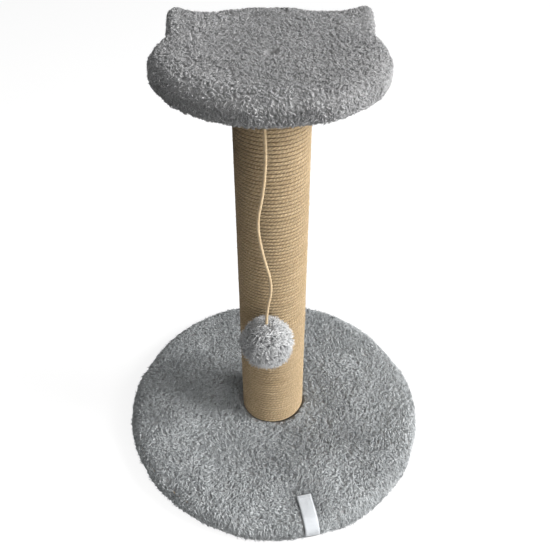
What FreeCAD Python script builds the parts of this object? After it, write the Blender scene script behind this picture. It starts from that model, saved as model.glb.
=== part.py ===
import FreeCAD, Part
import math
import os

import Sketcher
from FreeCAD import Placement, Rotation, Vector

# Cat scratcher: a rope-wound post on a round plush base, with a plush cat-head platform on
# top and a pom-pom that hangs on a cord in front of the post.
# Millimetres and degrees. The origin is on the floor under the post's axis, the front is -Y.

SIZES = {
    # Round base: a board wrapped in plush, with the edge of the plush folded under as a hem
    "base_board_diameter": 369,
    "base_board_thickness": 18,
    "base_rim_round": 14,
    "base_hem_round": 9,
    # Plush covers and the thin backing sheets inside their hems
    "pile_height": 9,
    "pressed_pile": 3,
    "cover_fit": 0.2,
    "hem_thickness": 4,
    "hem_width": 34,
    "backing_thickness": 1,
    "backing_fit": 0.5,
    # Post: a cardboard tube with a wooden plug in each end
    "tube_diameter": 72,
    "tube_wall": 5,
    "post_length": 466.5,
    "plug_thickness": 20,
    "plug_fit": 0.2,
    "recess_fit": 0.5,
    # Rope round the post
    "rope_diameter": 3.9,
    "rope_turn_gap": 0.5,
    "rope_seat_gap": 0.1,
    "rope_end_gap": 0.3,
    "rope_loops": 24,
    "rope_seam_angle": 100,
    "rope_step_length": 9,
    # Platform: a cat's head seen from above, ears at the back
    "platform_board_thickness": 15,
    "head_radius": 114.4,
    "head_offset": 3.5,
    "ear_inset": 3,
    "ear_rise": 17.8,
    "ear_tip_radius": 11.4,
    "ear_flare": 5,
    "notch_radius": 13,
    "forehead_rise": 15.2,
    "forehead_radius": 108.8,
    "valley_radius": 43.5,
    "platform_rim_round": 10,
    "platform_hem_round": 8,
    "platform_hem_share": 0.26,
    "key_hole_diameter": 12,
    # Bolts, washers, tee nuts and nails
    "bolt_diameter": 8,
    "bolt_clearance": 0.3,
    "base_bolt_length": 38,
    "platform_bolt_length": 34,
    "bolt_head_diameter": 14,
    "bolt_head_height": 5,
    "bolt_socket_width": 5.8,
    "bolt_socket_depth": 3,
    "washer_diameter": 22,
    "washer_thickness": 2,
    "counterbore_diameter": 26,
    "base_head_recess": 1,
    "tee_flange_diameter": 24,
    "tee_flange_thickness": 1.5,
    "tee_barrel_diameter": 10,
    "tee_barrel_length": 12,
    "tee_fit": 0.1,
    "nail_diameter": 1.6,
    "nail_length": 14,
    "nail_count": 4,
    # Staples that hold the hems
    "staple_crown": 11,
    "staple_wire": 1,
    "staple_leg": 9,
    "staple_sink": 1.2,
    "staple_edge": 2.5,
    "base_staple_count": 16,
    "platform_staple_count": 12,
    # Bare sewn tag over the base's front rim
    "tag_width": 17,
    "tag_reach": 40,
    "tag_thickness": 0.8,
    "tag_gap": 0.3,
    "tag_foot": 12,
    "tag_angle": 12.7,
    # Hanging toy: staple, loop, cord and stuffed pom-pom
    "toy_angle": 6.1,
    "toy_clearance": 2.8,
    "cord_diameter": 3,
    "anchor_wire": 1.4,
    "anchor_width": 16,
    "anchor_leg": 12,
    "anchor_clearance": 2,
    "loop_gap": 0.3,
    "loop_headroom": 0.5,
    "loop_length": 10,
    "loop_knot_diameter": 7.5,
    "swivel_gap": 0.3,
    "toy_diameter": 60,
    "toy_skin_thickness": 8,
    "toy_fit": 0.3,
    "toy_knot_diameter": 8,
    # Overrun of every cut past the face that it opens
    "overrun": 5,
}

# The cord's route from the middle of the loop's knot: to the right, then down
CORD_ROUTE = [
    (0, 2),
    (0.9, 26),
    (0.2, 50),
    (-2.6, 76),
    (-8.6, 107),
    (-3.5, 145),
    (7.2, 188),
    (0, 222),
    (0, 247.5),
]
# How much of the shorter run at a bend the bend's arc may take up
BEND_SHARE = 0.45

doc = FreeCAD.newDocument("cat_scratcher")
sheet = doc.addObject("Spreadsheet::Sheet", "sizes")
for row, (name, value) in enumerate(SIZES.items(), 1):
    sheet.set(f"A{row}", name)
    sheet.set(f"B{row}", str(value))
    sheet.setAlias(f"B{row}", name)
doc.recompute()

UP = Vector(0, 0, 1)
nodes = []


def worth(expression):
    """The number that an expression on the sheet comes to."""
    return float(sheet.evalExpression(expression))


def keep(piece, label):
    """Names a finished sub-part and puts it on the list that is written out."""
    piece.Label = label
    nodes.append(piece)
    return piece


# Levels and radii that several pieces share, as expressions on the sheet
BOARD_FOOT = "sizes.hem_thickness"
BOARD_TOP = "(sizes.hem_thickness + sizes.base_board_thickness)"
BASE_TOP = f"({BOARD_TOP} + sizes.pile_height)"
POST_FOOT = f"({BOARD_TOP} + sizes.pressed_pile)"
POST_TOP = f"({POST_FOOT} + sizes.post_length)"
DECK_FOOT = f"({POST_TOP} + sizes.backing_thickness)"
DECK_TOP = f"({DECK_FOOT} + sizes.platform_board_thickness)"
BASE_RADIUS = "(sizes.base_board_diameter / 2 + sizes.cover_fit + sizes.pile_height)"
HEM_RADIUS = f"({BASE_RADIUS} - sizes.hem_width)"
TUBE_RADIUS = "(sizes.tube_diameter / 2)"
ROPE_INNER = f"({TUBE_RADIUS} + sizes.rope_seat_gap)"
ROPE_OUTER = f"({ROPE_INNER} + sizes.rope_diameter)"
# The toy hangs just clear of the rope, a little left of the middle
TOY_REACH = f"({ROPE_OUTER} + sizes.toy_clearance + sizes.toy_diameter / 2)"
TOY_X = f"(-{TOY_REACH} * sin(sizes.toy_angle))"
TOY_Y = f"(-{TOY_REACH} * cos(sizes.toy_angle))"
# The platform's hem stops short of the staple that the toy hangs from
ANCHOR_END = f"hypot({TOY_X} - sizes.anchor_width / 2; {TOY_Y} - sizes.head_offset)"
ANCHOR_ROOM = f"({ANCHOR_END} + sizes.anchor_wire / 2 + sizes.anchor_clearance)"
DECK_HEM_RADIUS = f"max(sizes.head_radius * (1 - sizes.platform_hem_share); {ANCHOR_ROOM})"
BOLT_HOLE = "(sizes.bolt_diameter / 2 + sizes.bolt_clearance)"
BARREL_HOLE = "(sizes.tee_barrel_diameter / 2 + sizes.tee_fit)"
HEAD_DEPTH = "(sizes.washer_thickness + sizes.bolt_head_height)"


def new_body(name):
    return doc.addObject("PartDesign::Body", name)


def origin_plane(body, role):
    return next(f for f in body.Origin.OriginFeatures if f.Role == role)


def new_sketch(body, name, role, offset="0"):
    """A sketch on one of the body's origin planes, moved along the plane's normal."""
    sketch = body.newObject("Sketcher::SketchObject", name)
    sketch.AttachmentSupport = [(origin_plane(body, role), "")]
    sketch.MapMode = "FlatFace"
    sketch.setExpression("AttachmentOffset.Base.z", offset)
    return sketch


def bind(sketch, constraint, expression):
    """Adds a dimension to a sketch and ties it to an expression."""
    index = sketch.addConstraint(Sketcher.Constraint(*constraint, worth(expression)))
    sketch.setExpression(f"Constraints[{index}]", expression)


def pin_point(sketch, curve, point, x, y):
    """Ties a point of a sketch to its place from the sketch's origin."""
    for direction, axis, expression in (("DistanceX", -2, x), ("DistanceY", -1, y)):
        if expression == "0":
            sketch.addConstraint(Sketcher.Constraint("PointOnObject", curve, point, axis))
        else:
            bind(sketch, (direction, -1, 1, curve, point), expression)


def draw_corners(sketch, corners):
    """A closed outline of straight lines through corners given as pairs of expressions."""
    points = [Vector(worth(x), worth(y), 0) for x, y in corners]
    lines = [Part.LineSegment(a, b) for a, b in zip(points, points[1:] + points[:1])]
    first = sketch.GeometryCount
    for line in lines:
        sketch.addGeometry(line, False)
    for i, (x, y) in enumerate(corners):
        after = first + (i + 1) % len(corners)
        sketch.addConstraint(Sketcher.Constraint("Coincident", first + i, 2, after, 1))
        pin_point(sketch, first + i, 1, x, y)


def draw_circle(sketch, radius, x="0", y="0"):
    centre = Vector(worth(x), worth(y), 0)
    curve = sketch.addGeometry(Part.Circle(centre, UP, worth(radius)), False)
    bind(sketch, ("Radius", curve), radius)
    pin_point(sketch, curve, 3, x, y)


def turned(label, corners):
    """A body turned about Z from a profile of (radius, height) corners."""
    body = new_body(label)
    sketch = new_sketch(body, f"{label}_profile", "XZ_Plane")
    draw_corners(sketch, corners)
    turn = body.newObject("PartDesign::Revolution", f"{label}_turn")
    turn.Profile = sketch
    turn.ReferenceAxis = (sketch, ["V_Axis"])
    turn.Angle = 360
    doc.recompute()
    return body


def pad_sketch(body, sketch, name, length):
    pad = body.newObject("PartDesign::Pad", name)
    pad.Profile = sketch
    pad.setExpression("Length", length)
    doc.recompute()
    return pad


def pocket_up(body, sketch, name, length):
    """Cuts upwards from a sketch's plane, and makes sure that something was cut."""
    before = body.Shape.Volume
    pocket = body.newObject("PartDesign::Pocket", name)
    pocket.Profile = sketch
    pocket.Reversed = True
    pocket.setExpression("Length", length)
    doc.recompute()
    if body.Shape.Volume >= before:
        raise RuntimeError(f"{name} cuts nothing")
    return pocket


def round_edges(body, name, radius, wanted):
    """Fillets the edges of the body's last feature that a test on an edge picks."""
    base = body.Tip
    names = [f"Edge{i}" for i, edge in enumerate(base.Shape.Edges, 1) if wanted(edge)]
    fillet = body.newObject("PartDesign::Fillet", name)
    fillet.Base = (base, names)
    fillet.setExpression("Radius", radius)
    doc.recompute()
    return fillet


def polar(body, feature, name, count):
    """Repeats a feature about the body's Z axis as separate solids."""
    body.AllowCompound = True
    pattern = body.newObject("PartDesign::PolarPattern", name)
    pattern.Originals = [feature]
    pattern.Axis = (origin_plane(body, "Z_Axis"), [""])
    pattern.Angle = 360
    pattern.setExpression("Occurrences", count)
    body.Tip = pattern
    doc.recompute()
    return pattern


def cylinder(name, radius, height, z, x="0", y="0"):
    piece = doc.addObject("Part::Cylinder", name)
    piece.setExpression("Radius", radius)
    piece.setExpression("Height", height)
    move(piece, x, y, z)
    return piece


def sphere(name, radius, x, y, z):
    piece = doc.addObject("Part::Sphere", name)
    piece.setExpression("Radius", radius)
    move(piece, x, y, z)
    return piece


def move(piece, x, y, z):
    for axis, expression in zip("xyz", (x, y, z)):
        piece.setExpression(f"Placement.Base.{axis}", expression)


def fuse(name, *pieces):
    piece = doc.addObject("Part::MultiFuse", name)
    piece.Shapes = list(pieces)
    return piece


def cut(name, base, tool):
    piece = doc.addObject("Part::Cut", name)
    piece.Base = base
    piece.Tool = tool
    return piece


def at_level(shape_edge, radius, level):
    """Whether an edge is the circle of that radius about Z at that height."""
    curve = shape_edge.Curve
    same = isinstance(curve, Part.Circle) and math.isclose(curve.Radius, worth(radius))
    return same and math.isclose(curve.Center.z, worth(level), abs_tol=1e-6)


# Base
def make_base():
    bore = "(sizes.counterbore_diameter / 2)"
    ceiling = f"({BOARD_FOOT} + {HEAD_DEPTH} + sizes.base_head_recess)"
    edge = "(sizes.base_board_diameter / 2)"
    board = [
        (bore, BOARD_FOOT),
        (edge, BOARD_FOOT),
        (edge, BOARD_TOP),
        (BOLT_HOLE, BOARD_TOP),
        (BOLT_HOLE, ceiling),
        (bore, ceiling),
    ]
    keep(turned("base_board", board), "base_board")

    recess = f"({ROPE_OUTER} + sizes.recess_fit)"
    inside = f"({edge} + sizes.cover_fit)"
    cover = turned(
        "base_cover",
        [
            (HEM_RADIUS, "0"),
            (BASE_RADIUS, "0"),
            (BASE_RADIUS, BASE_TOP),
            (recess, BASE_TOP),
            (recess, POST_FOOT),
            (BOLT_HOLE, POST_FOOT),
            (BOLT_HOLE, BOARD_TOP),
            (inside, BOARD_TOP),
            (inside, BOARD_FOOT),
            (HEM_RADIUS, BOARD_FOOT),
        ],
    )
    round_edges(cover, "base_rim", "sizes.base_rim_round", lambda e: at_level(e, BASE_RADIUS, BASE_TOP))
    round_edges(cover, "base_hem", "sizes.base_hem_round", lambda e: at_level(e, BASE_RADIUS, "0"))
    keep(cover, "base_cover")

    reach = f"({HEM_RADIUS} - sizes.backing_fit)"
    lower = f"({BOARD_FOOT} - sizes.backing_thickness)"
    backing = [(bore, lower), (reach, lower), (reach, BOARD_FOOT), (bore, BOARD_FOOT)]
    keep(turned("base_backing", backing), "base_backing")
    make_staples("base_staples", f"({BASE_RADIUS} - sizes.hem_width / 2)", "0", "sizes.base_staple_count")
    return ceiling


def make_staples(label, ring, hem_face, count):
    """A ring of staples driven up through a hem, with their crowns sunk into the pile."""
    body = new_body(label)
    sketch = new_sketch(body, f"{label}_shape", "XZ_Plane", f"{ring} - sizes.staple_wire / 2")
    side = "(sizes.staple_crown / 2)"
    leg = f"({side} - sizes.staple_wire)"
    foot = f"({hem_face} + sizes.staple_sink)"
    bend = f"({foot} + sizes.staple_wire)"
    tip = f"({foot} + sizes.staple_leg)"
    right = [(side, foot), (side, tip), (leg, tip), (leg, bend)]
    left = [(f"-{x}", z) for x, z in reversed(right)]
    draw_corners(sketch, right + left)
    pad = pad_sketch(body, sketch, f"{label}_wire", "sizes.staple_wire")
    polar(body, pad, f"{label}_ring", count)
    return keep(body, label)


# Bare tag: a strip that lies on the plush and turns down over the rim
def make_tag():
    near = f"({BASE_RADIUS} - sizes.tag_reach)"
    under = f"({BASE_TOP} + sizes.tag_gap)"
    over = f"({under} + sizes.tag_thickness)"
    inner = f"({BASE_RADIUS} + sizes.tag_gap)"
    outer = f"({inner} + sizes.tag_thickness)"
    foot = "sizes.tag_foot"
    body = new_body("base_tag")
    sketch = new_sketch(body, "base_tag_profile", "XZ_Plane")
    strip = [(near, under), (inner, under), (inner, foot), (outer, foot), (outer, over), (near, over)]
    draw_corners(sketch, strip)
    turn = body.newObject("PartDesign::Revolution", "base_tag_turn")
    turn.Profile = sketch
    turn.ReferenceAxis = (sketch, ["V_Axis"])
    turn.setExpression("Angle", f"sizes.tag_width / {BASE_RADIUS} * 180 / pi")
    turn.Midplane = True
    doc.recompute()
    round_in = "sizes.base_rim_round + sizes.tag_gap"
    round_edges(body, "base_tag_inner", round_in, lambda e: at_level(e, inner, under))
    round_out = f"{round_in} + sizes.tag_thickness"
    round_edges(body, "base_tag_outer", round_out, lambda e: at_level(e, outer, over))
    body.Placement = Placement(Vector(), Rotation(UP, worth("sizes.tag_angle - 90")))
    body.setExpression("Placement.Rotation.Angle", "sizes.tag_angle - 90")
    return keep(body, "base_tag")


# Post
def make_post():
    bore = f"({TUBE_RADIUS} - sizes.tube_wall)"
    tube = [(bore, POST_FOOT), (TUBE_RADIUS, POST_FOOT), (TUBE_RADIUS, POST_TOP), (bore, POST_TOP)]
    keep(turned("post_tube", tube), "post_tube")
    make_plug("bottom", POST_FOOT, "+")
    make_plug("top", POST_TOP, "-")


def make_plug(end, face, inward):
    """A plug flush with one end of the tube, its tee nut on the inner face and its nails."""
    rim = f"({TUBE_RADIUS} - sizes.tube_wall - sizes.plug_fit)"
    inner = f"({face} {inward} sizes.plug_thickness)"
    tip = f"({inner} {'-' if inward == '+' else '+'} sizes.tee_barrel_length)"
    back = f"({inner} {inward} sizes.tee_flange_thickness)"
    plug = [
        (BOLT_HOLE, face),
        (rim, face),
        (rim, inner),
        (BARREL_HOLE, inner),
        (BARREL_HOLE, tip),
        (BOLT_HOLE, tip),
    ]
    keep(turned(f"{end}_plug", plug), f"{end}_plug")

    thread = "(sizes.bolt_diameter / 2 + sizes.tee_fit)"
    barrel = "(sizes.tee_barrel_diameter / 2)"
    flange = "(sizes.tee_flange_diameter / 2)"
    nut = [(thread, tip), (barrel, tip), (barrel, inner), (flange, inner), (flange, back), (thread, back)]
    keep(turned(f"{end}_tee_nut", nut), f"{end}_tee_nut")

    nails = new_body(f"{end}_plug_nails")
    sketch = new_sketch(nails, f"{end}_nail_section", "XZ_Plane", f"{TUBE_RADIUS} - sizes.nail_length")
    draw_circle(sketch, "sizes.nail_diameter / 2", "0", f"{face} {inward} sizes.plug_thickness / 2")
    shank = pad_sketch(nails, sketch, f"{end}_nail_shank", "sizes.nail_length")
    polar(nails, shank, f"{end}_nail_ring", "sizes.nail_count")
    keep(nails, f"{end}_plug_nails")


# Bolts and washers
def make_bolt(label, seat, points_up, length):
    """A socket-head bolt with its head's underside on a washer at that level."""
    back = "-" if points_up else "+"
    head_seat = f"({seat} {back} sizes.washer_thickness)"
    head_end = f"({head_seat} {back} sizes.bolt_head_height)"
    head_low = head_end if points_up else head_seat
    shank_low = head_seat if points_up else f"({head_seat} - {length})"
    head = cylinder(f"{label}_head", "sizes.bolt_head_diameter / 2", "sizes.bolt_head_height", head_low)
    shank = cylinder(f"{label}_shank", "sizes.bolt_diameter / 2", length, shank_low)
    socket = doc.addObject("Part::Prism", f"{label}_socket")
    socket.Polygon = 6
    socket.setExpression("Circumradius", "sizes.bolt_socket_width / sqrt(3)")
    socket.setExpression("Height", "sizes.bolt_socket_depth + sizes.overrun")
    socket_low = f"{head_end} - sizes.overrun" if points_up else f"{head_end} - sizes.bolt_socket_depth"
    move(socket, "0", "0", socket_low)
    keep(cut(label, fuse(f"{label}_blank", head, shank), socket), label)

    hole, rim = BOLT_HOLE, "(sizes.washer_diameter / 2)"
    washer_label = label.replace("bolt", "washer")
    washer = [(hole, seat), (rim, seat), (rim, head_seat), (hole, head_seat)]
    keep(turned(washer_label, washer), washer_label)


# Rope
def rope_levels():
    """The middle of the rope at its upper and lower ends."""
    pitch = worth("sizes.rope_diameter + sizes.rope_turn_gap")
    top = worth(f"{POST_TOP} - sizes.rope_end_gap - sizes.rope_diameter / 2")
    return top, top - pitch * worth("sizes.rope_loops")


def biarc(start, start_way, end, end_way):
    """Two arcs that leave one point and reach another along given directions."""
    span, ways = end - start, start_way + end_way
    lean = 2 * (1 - start_way.dot(end_way))
    along = span.dot(ways)
    reach = (math.sqrt(along * along + lean * span.dot(span)) - along) / lean
    first, second = start + start_way * reach, end - end_way * reach
    joint = (first + second) * 0.5
    return [tangent_arc(start, first, joint), tangent_arc(joint, second, end)]


def tangent_arc(start, corner, end):
    """The arc between two points whose tangents there meet at a corner."""
    middle = (start + end) * 0.5
    lean = (corner - start).normalize().dot((end - start).normalize())
    return Part.Arc(start, middle + (corner - middle) * (lean / (1 + lean)), end)


def round_tube(edges, diameter):
    """A solid tube along a chain of edges, compared with its section times its length."""
    path = Part.Wire(edges)
    start, way = edges[0].valueAt(edges[0].FirstParameter), edges[0].tangentAt(edges[0].FirstParameter)
    ring = Part.Wire([Part.Circle(start, way, diameter / 2).toShape()])
    tube = path.makePipeShell([ring], True, False)
    expected = math.pi * diameter * diameter / 4 * path.Length
    print(f"tube {path.Length:.1f} mm long, volume {tube.Volume / expected:.4f} of section times length")
    return tube


def make_rope():
    radius = worth(f"{ROPE_INNER} + sizes.rope_diameter / 2")
    thick = worth("sizes.rope_diameter")
    loops = int(worth("sizes.rope_loops"))
    top, bottom = rope_levels()
    quarters = 4 * loops
    climb = (top - bottom) / quarters

    def place(i):
        turn = math.pi / 2 * i
        return Vector(radius * math.cos(turn), radius * math.sin(turn), bottom + climb * i)

    def heading(i):
        turn = math.pi / 2 * i
        rise = 0 if i in (0, quarters) else climb
        run = radius * math.pi / 2
        return Vector(-run * math.sin(turn), run * math.cos(turn), rise).normalize()

    out = Vector(0, thick, 0)
    curves = [Part.LineSegment(place(0) - out, place(0))]
    for i in range(quarters):
        curves += biarc(place(i), heading(i), place(i + 1), heading(i + 1))
    curves.append(Part.LineSegment(place(quarters), place(quarters) + out))
    rope = doc.addObject("Part::Feature", "rope_winding")
    rope.Shape = round_tube([curve.toShape() for curve in curves], thick)
    rope.Placement = Placement(Vector(), Rotation(UP, worth("sizes.rope_seam_angle")))
    keep(rope, "rope_winding")
    print(f"rope: least gap between turns {least_gap(curves, thick):.3f} mm")


def least_gap(curves, thick):
    """The least gap of a tube to itself, measured on points along its middle line."""
    points, travel = [], []
    length = 0
    for curve in curves:
        steps = max(2, math.ceil(curve.length() / thick))
        step = curve.length() / steps
        for i in range(steps):
            points.append(curve.value(curve.parameterAtDistance(step * i, curve.FirstParameter)))
            travel.append(length + step * i)
        length += curve.length()
    apart = math.pi * thick
    gaps = [
        a.distanceToPoint(b)
        for i, a in enumerate(points)
        for b, way in zip(points[i + 1 :], travel[i + 1 :])
        if way - travel[i] > apart
    ]
    return min(gaps) - thick


def make_rope_sleeve():
    """The rest of the winding as a plain sleeve, with a step that takes the rope's lower end."""
    pitch = "(sizes.rope_diameter + sizes.rope_turn_gap)"
    rise = f"(sizes.post_length - sizes.rope_end_gap - {pitch} * (sizes.rope_loops + 1))"
    step_top = f"({rise} + sizes.rope_diameter)"
    outer = cylinder("sleeve_outer", ROPE_OUTER, step_top, POST_FOOT)
    inner = cylinder("sleeve_inner", ROPE_INNER, f"{step_top} + sizes.overrun", POST_FOOT)
    plain = cylinder("sleeve_plain", f"{ROPE_OUTER} + sizes.overrun", rise, POST_FOOT)
    step = doc.addObject("Part::Box", "sleeve_step")
    step.setExpression("Length", ROPE_OUTER)
    step.setExpression("Width", "sizes.rope_step_length")
    step.setExpression("Height", step_top)
    move(step, "0", "-sizes.rope_diameter - sizes.rope_step_length", POST_FOOT)
    sleeve = doc.addObject("Part::Common", "rope_sleeve")
    sleeve.Base = cut("sleeve_ring", outer, inner)
    sleeve.Tool = fuse("sleeve_space", plain, step)
    sleeve.setExpression("Placement.Rotation.Angle", "sizes.rope_seam_angle")
    return keep(sleeve, "rope_sleeve")


# Platform: the ears and the forehead rise from the back of the head's circle
HEAD_BACK = "(sizes.head_offset + sizes.head_radius)"
BROW_Y = f"({HEAD_BACK} + sizes.forehead_rise - sizes.forehead_radius)"
EAR_X = "(sizes.head_radius - sizes.ear_inset - sizes.ear_tip_radius)"
EAR_Y = f"({HEAD_BACK} + sizes.ear_rise - sizes.ear_tip_radius)"


def polar_angle(centre, point):
    return math.atan2(point.y - centre.y, point.x - centre.x)


def arc_of(centre, entry, leave, convex):
    """An arc of a circle that runs anticlockwise where the outline bulges out."""
    first, last = (entry, leave) if convex else (leave, entry)
    circle = Part.Circle(centre, UP, centre.distanceToPoint(entry))
    return Part.ArcOfCircle(circle, polar_angle(centre, first), polar_angle(centre, last))


def towards(a, b, distance):
    return a + (b - a).normalize() * distance


def mirrored(point):
    return Vector(-point.x, point.y, point.z)


def head_centres():
    """The middles of the outline's circles on the right side, and the way out of the ear's side."""
    head = Vector(0, worth("sizes.head_offset"), 0)
    brow = Vector(0, worth(BROW_Y), 0)
    tip = Vector(worth(EAR_X), worth(EAR_Y), 0)
    flare = math.radians(worth("sizes.ear_flare"))
    out = Vector(math.cos(flare), -math.sin(flare), 0)
    down = Vector(-math.sin(flare), -math.cos(flare), 0)
    # The notch's circle touches the ear's side and the head's circle from outside
    beside = tip + out * worth("sizes.ear_tip_radius + sizes.notch_radius") - head
    span = worth("sizes.head_radius + sizes.notch_radius")
    fall = -beside.dot(down)
    notch = head + beside + down * (fall - math.sqrt(fall * fall + span * span - beside.dot(beside)))
    # The valley's circle touches the ear's tip and the forehead from outside
    to_tip = worth("sizes.valley_radius + sizes.ear_tip_radius")
    to_brow = worth("sizes.valley_radius + sizes.forehead_radius")
    base = tip - brow
    along = (to_brow * to_brow - to_tip * to_tip + base.dot(base)) / (2 * base.Length)
    aside = math.sqrt(to_brow * to_brow - along * along)
    way = Vector(base).normalize()
    valley = brow + way * along + Vector(-way.y, way.x, 0) * aside
    return head, notch, tip, valley, brow, out


def draw_head(sketch, inset):
    """The cat's-head outline, drawn in by an inset, as arcs and lines that run on smoothly."""
    head, notch, tip, valley, brow, out = head_centres()
    by = worth(inset)
    neck = towards(head, notch, worth("sizes.head_radius") - by)
    side_low = notch - out * (worth("sizes.notch_radius") + by)
    side_high = tip + out * (worth("sizes.ear_tip_radius") - by)
    dip = towards(tip, valley, worth("sizes.ear_tip_radius") - by)
    rise = towards(brow, valley, worth("sizes.forehead_radius") - by)
    left = [mirrored(p) for p in (neck, side_low, side_high, dip, rise, notch, tip, valley)]
    l_neck, l_low, l_high, l_dip, l_rise, l_notch, l_tip, l_valley = left
    outline = [
        (arc_of(head, l_neck, neck, True), 1, 2, f"sizes.head_radius - {inset}"),
        (arc_of(notch, neck, side_low, False), 2, 1, f"sizes.notch_radius + {inset}"),
        (Part.LineSegment(side_low, side_high), 1, 2, None),
        (arc_of(tip, side_high, dip, True), 1, 2, f"sizes.ear_tip_radius - {inset}"),
        (arc_of(valley, dip, rise, False), 2, 1, f"sizes.valley_radius + {inset}"),
        (arc_of(brow, rise, l_rise, True), 1, 2, f"sizes.forehead_radius - {inset}"),
        (arc_of(l_valley, l_rise, l_dip, False), 2, 1, f"sizes.valley_radius + {inset}"),
        (arc_of(l_tip, l_dip, l_high, True), 1, 2, f"sizes.ear_tip_radius - {inset}"),
        (Part.LineSegment(l_low, l_high), 2, 1, None),
        (arc_of(l_notch, l_low, l_neck, False), 2, 1, f"sizes.notch_radius + {inset}"),
    ]
    curves = [sketch.addGeometry(curve, False) for curve, *_ in outline]
    main, _, side, ear, _, front, _, l_ear, l_side, _ = curves
    for i, (_, _, leave, radius) in enumerate(outline):
        after = (i + 1) % len(outline)
        join = ("Tangent", curves[i], leave, curves[after], outline[after][1])
        sketch.addConstraint(Sketcher.Constraint(*join))
        if radius:
            bind(sketch, ("Radius", curves[i]), radius)
    pin_point(sketch, main, 3, "0", "sizes.head_offset")
    pin_point(sketch, front, 3, "0", BROW_Y)
    pin_point(sketch, ear, 3, EAR_X, EAR_Y)
    sketch.addConstraint(Sketcher.Constraint("Symmetric", ear, 3, l_ear, 3, -2))
    for line, angle in ((side, "90 - sizes.ear_flare"), (l_side, "90 + sizes.ear_flare")):
        index = sketch.addConstraint(Sketcher.Constraint("Angle", line, math.radians(worth(angle))))
        sketch.setExpression(f"Constraints[{index}]", angle)


def flat_edge(edge, level):
    return all(math.isclose(v.Point.z, worth(level), abs_tol=1e-6) for v in edge.Vertexes)


def make_platform():
    inset = "sizes.pile_height + sizes.cover_fit"
    board = new_body("platform_board")
    shape = new_sketch(board, "platform_board_outline", "XY_Plane", DECK_FOOT)
    draw_head(shape, f"({inset})")
    pad_sketch(board, shape, "platform_board_sheet", "sizes.platform_board_thickness")
    hole = new_sketch(board, "platform_bolt_hole", "XY_Plane", f"{DECK_FOOT} - sizes.overrun")
    draw_circle(hole, BOLT_HOLE)
    pocket_up(board, hole, "platform_bolt_bore", "sizes.platform_board_thickness + 2 * sizes.overrun")
    seat = f"({DECK_TOP} - {HEAD_DEPTH})"
    sink = new_sketch(board, "platform_head_sink", "XY_Plane", seat)
    draw_circle(sink, "sizes.counterbore_diameter / 2")
    pocket_up(board, sink, "platform_head_bore", f"{HEAD_DEPTH} + sizes.overrun")
    keep(board, "platform_board")

    foot = f"({DECK_FOOT} - sizes.hem_thickness)"
    top = f"({DECK_TOP} + sizes.pile_height)"
    cover = new_body("platform_cover")
    shape = new_sketch(cover, "platform_cover_outline", "XY_Plane", foot)
    draw_head(shape, "0")
    pad_sketch(cover, shape, "platform_cover_block", f"{top} - {foot}")
    round_edges(cover, "platform_rim", "sizes.platform_rim_round", lambda e: flat_edge(e, top))
    round_edges(cover, "platform_hem", "sizes.platform_hem_round", lambda e: flat_edge(e, foot))
    hollow = new_sketch(cover, "platform_cover_hollow", "XY_Plane", DECK_FOOT)
    draw_head(hollow, "sizes.pile_height")
    pocket_up(cover, hollow, "platform_cover_inside", "sizes.platform_board_thickness")
    mouth = new_sketch(cover, "platform_cover_mouth", "XY_Plane", f"{foot} - sizes.overrun")
    draw_circle(mouth, DECK_HEM_RADIUS, "0", "sizes.head_offset")
    pocket_up(cover, mouth, "platform_hem_opening", "sizes.hem_thickness + sizes.overrun")
    key = new_sketch(cover, "platform_key_hole", "XY_Plane", DECK_TOP)
    draw_circle(key, "sizes.key_hole_diameter / 2")
    pocket_up(cover, key, "platform_key_bore", "sizes.pile_height + sizes.overrun")
    keep(cover, "platform_cover")

    reach, thin = f"({DECK_HEM_RADIUS} - sizes.backing_fit)", "sizes.backing_thickness"
    disc = cylinder("backing_disc", reach, thin, POST_TOP, "0", "sizes.head_offset")
    slot = cylinder("backing_hole", BOLT_HOLE, thin, POST_TOP)
    keep(cut("platform_backing", disc, slot), "platform_backing")
    rim = f"(sizes.head_radius - ({inset}) - sizes.staple_edge)"
    ring = f"min((sizes.head_radius + {DECK_HEM_RADIUS}) / 2; {rim})"
    staples = make_staples("platform_staples", ring, foot, "sizes.platform_staple_count")
    staples.setExpression("Placement.Base.y", "sizes.head_offset")
    return seat


# Hanging toy
LOOP_BEND = "(sizes.anchor_wire / 2 + sizes.loop_gap + sizes.cord_diameter / 2)"
ANCHOR = f"({POST_TOP} - {LOOP_BEND} - sizes.cord_diameter / 2 - sizes.loop_headroom)"
KNOT = f"({ANCHOR} - sizes.loop_length)"


def make_anchor():
    """A staple under the platform: a round crown along X and two legs up into the board."""
    wire = "sizes.anchor_wire / 2"
    crown = doc.addObject("Part::Cylinder", "anchor_crown")
    crown.Placement = Placement(Vector(), Rotation(Vector(0, 1, 0), 90))
    crown.setExpression("Radius", wire)
    crown.setExpression("Height", "sizes.anchor_width")
    move(crown, f"{TOY_X} - sizes.anchor_width / 2", TOY_Y, ANCHOR)
    rise = f"{DECK_FOOT} - {ANCHOR} + sizes.anchor_leg"
    pieces = [crown]
    for side, sign in (("left", "-"), ("right", "+")):
        x = f"{TOY_X} {sign} sizes.anchor_width / 2"
        pieces.append(cylinder(f"anchor_{side}_leg", wire, rise, ANCHOR, x, TOY_Y))
        pieces.append(sphere(f"anchor_{side}_bend", wire, x, TOY_Y, ANCHOR))
    keep(fuse("cord_staple", *pieces), "cord_staple")


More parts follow.
